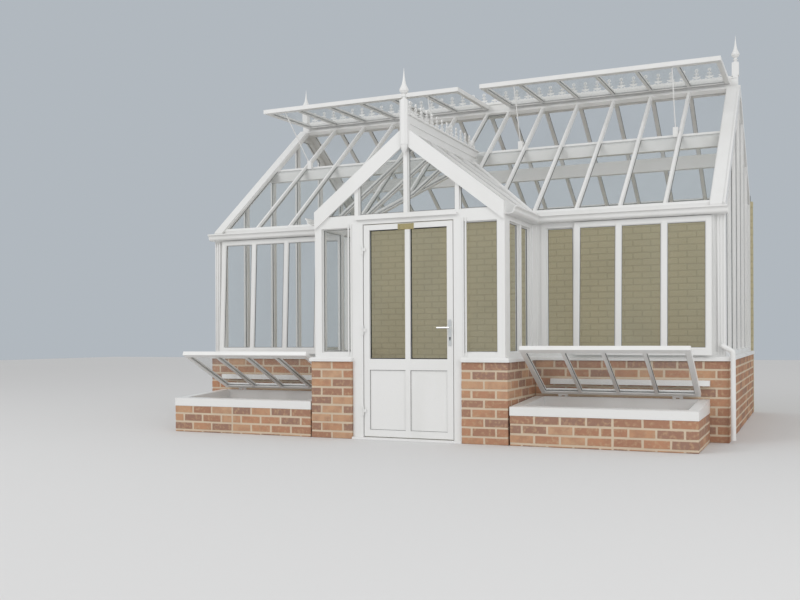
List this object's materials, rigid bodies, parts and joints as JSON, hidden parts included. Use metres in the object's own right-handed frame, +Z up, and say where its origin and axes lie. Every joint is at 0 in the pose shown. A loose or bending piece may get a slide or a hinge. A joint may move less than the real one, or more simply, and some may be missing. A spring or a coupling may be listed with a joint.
{
  "type": "glass greenhouse",
  "caption": "Period-style glasshouse against a wall, with a gabled porch and hinged door, open ridge vents, top-hung side sashes, gutters, cresting and lidded cold frames on brick walls.",
  "frame": {"origin": "on the ground, at the door opening's middle line in X and the plane of the front wings' frames in Y, on the underside of the floor", "axes": "+X to the right along the front as seen from outside, +Y into the house towards the wall it leans on, +Z up"},
  "size_m": [5.5237, 4.645, 4.1809],
  "materials": {
    "white_frame": "satin powder coat",
    "glass": "clear",
    "brick": "red brick with pale joints",
    "painted_wall": "cream paint on brick",
    "floor": "concrete",
    "grey_metal": "satin dark grey",
    "bright_metal": "polished"
  },
  "bodies": {
    "house": {"floor_slab": "floor", "brick_fronts": "brick", "brick_ends": "brick", "brick_porch_sides": "brick", "back_wall": "painted_wall", "sills": "white_frame", "front_frames": "white_frame", "end_frames": "white_frame", "porch_frame_right": "white_frame", "porch_frame_left": "white_frame", "porch_gable": "white_frame", "door_frame": "white_frame", "side_sashes": "white_frame", "sash_glass": "glass", "front_glass": "glass", "end_glass": "glass", "porch_glass": "glass", "front_rafters": "white_frame", "front_rails": "white_frame", "roof_purlins": "white_frame", "front_roof_glass": "glass", "rear_roof": "white_frame", "rear_roof_glass": "glass", "porch_roof_right": "white_frame", "porch_roof_left": "white_frame", "porch_roof_glass": "glass", "ridges": "white_frame", "cresting": "white_frame", "finials": "white_frame", "barge_boards": "white_frame", "eaves_gutters": "white_frame", "rear_gutter": "grey_metal", "downpipe": "white_frame", "roof_vents": "white_frame", "vent_glass": "glass", "vent_stays": "white_frame", "cold_frame_walls": "brick", "cold_frame_rims": "white_frame"},
    "door": {"door_leaf": "white_frame", "door_glass": "glass", "door_handle": "bright_metal"},
    "cold_lid_right": {"lid_right": "white_frame", "lid_glass_right": "glass"},
    "cold_lid_left": {"lid_left": "white_frame", "lid_glass_left": "glass"}
  },
  "joints": [
    {"name": "door_hinge", "type": "hinge", "parent": "house", "child": "door", "pos_m": [-0.4325, -0.888, 0], "axis": [0, 0, 1], "range_deg": [-100, 0]},
    {"name": "lid_hinge_right", "type": "hinge", "parent": "house", "child": "cold_lid_right", "pos_m": [1.7735, -0.085, 0.402], "axis": [1, 0, 0], "range_deg": [0, 32.8]},
    {"name": "lid_hinge_left", "type": "hinge", "parent": "house", "child": "cold_lid_left", "pos_m": [-1.7735, -0.085, 0.402], "axis": [1, 0, 0], "range_deg": [0, 28.7]}
  ]
}
